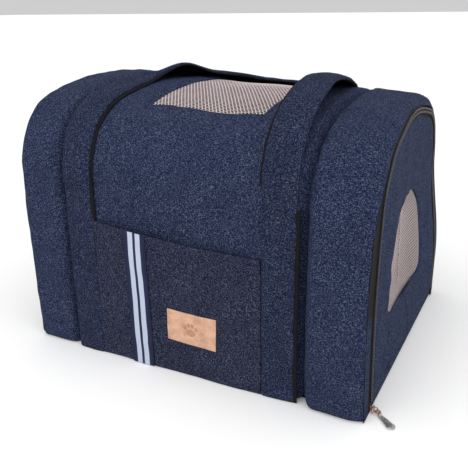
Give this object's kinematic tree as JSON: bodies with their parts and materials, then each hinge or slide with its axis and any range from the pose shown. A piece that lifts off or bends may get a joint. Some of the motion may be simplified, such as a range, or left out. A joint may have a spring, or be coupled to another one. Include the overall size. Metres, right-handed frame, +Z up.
{
  "type": "pet transport carrier",
  "caption": "Soft padded denim pet carrier, loaf shaped, with a zip door at one end, mesh windows, a front pocket and two long handles.",
  "frame": {"origin": "centre of the base on the surface it stands on, midway between the end walls and between the front and back walls", "axes": "+X along the length towards the zip door, +Z up, -Y towards the front wall with the pocket"},
  "size_m": [0.4482, 0.3641, 0.3255],
  "materials": {
    "denim": "heathered indigo denim over foam",
    "foam": "open-cell padding foam",
    "lining": "smooth dark nylon lining",
    "mesh": "pale open polyester mesh",
    "black_tape": "black woven tape",
    "zip_coil": "black nylon coil",
    "ribbon": "navy grosgrain with two pale stripes",
    "leather": "tan label leather",
    "board": "grey polypropylene board",
    "pad": "quilted pad cover",
    "slider_metal": "worn coppery plating",
    "link_metal": "worn coppery plating",
    "puller_metal": "dull silver casting"
  },
  "bodies": {
    "shell": {"bottom_panel": "denim", "base_board": "board", "base_pad": "pad", "left_end_skin": "denim", "left_end_mesh": "mesh", "left_end_foam": "foam", "left_end_lining": "lining", "left_skin": "denim", "left_foam": "foam", "middle_skin": "denim", "front_foam": "foam", "back_foam": "foam", "top_foam": "foam", "top_mesh": "mesh", "right_skin": "denim", "right_foam": "foam", "cabin_lining": "lining", "left_seam_tape": "black_tape", "right_seam_tape": "black_tape", "zip_tape_wrap": "black_tape", "zip_teeth_wrap": "zip_coil", "zip_stop": "zip_coil", "door_hinge_strip": "denim", "front_pocket": "denim", "pocket_ribbon": "ribbon", "leather_label": "leather", "front_strap_left": "denim", "front_strap_right": "denim", "back_strap_left": "denim", "back_strap_right": "denim"},
    "door": {"zip_tape_door": "black_tape", "zip_teeth_door": "zip_coil", "door_skin": "denim", "door_mesh": "mesh", "door_foam": "foam", "door_lining": "lining"},
    "slider": {"zip_slider": "slider_metal"},
    "puller": {"puller_link": "link_metal", "zip_puller": "puller_metal"},
    "front_handle": {"front_handle_band": "denim", "front_handle_lining": "black_tape"},
    "back_handle": {"back_handle_band": "denim", "back_handle_lining": "black_tape"}
  },
  "joints": [
    {"name": "door_hinge", "type": "hinge", "parent": "shell", "child": "door", "pos_m": [0.2095, 0, 0.0085], "axis": [0, 1, 0], "range_deg": [0, 90]},
    {"name": "slider_slide", "type": "slide", "parent": "shell", "child": "slider", "axis": [0, 0, 1], "range_m": [0, 0.19]},
    {"name": "puller_swing", "type": "hinge", "parent": "slider", "child": "puller", "pos_m": [0.2148, -0.154, 0.0031], "axis": [-0.6691, -0.7431, 0], "range_deg": [0, 75]},
    {"name": "front_handle_lift", "type": "hinge", "parent": "shell", "child": "front_handle", "pos_m": [0, -0.175, 0.214], "axis": [1, 0, 0], "range_deg": [0, 70]},
    {"name": "back_handle_lift", "type": "hinge", "parent": "shell", "child": "back_handle", "pos_m": [0, 0.181, 0.268], "axis": [1, 0, 0], "range_deg": [0, 200]}
  ]
}
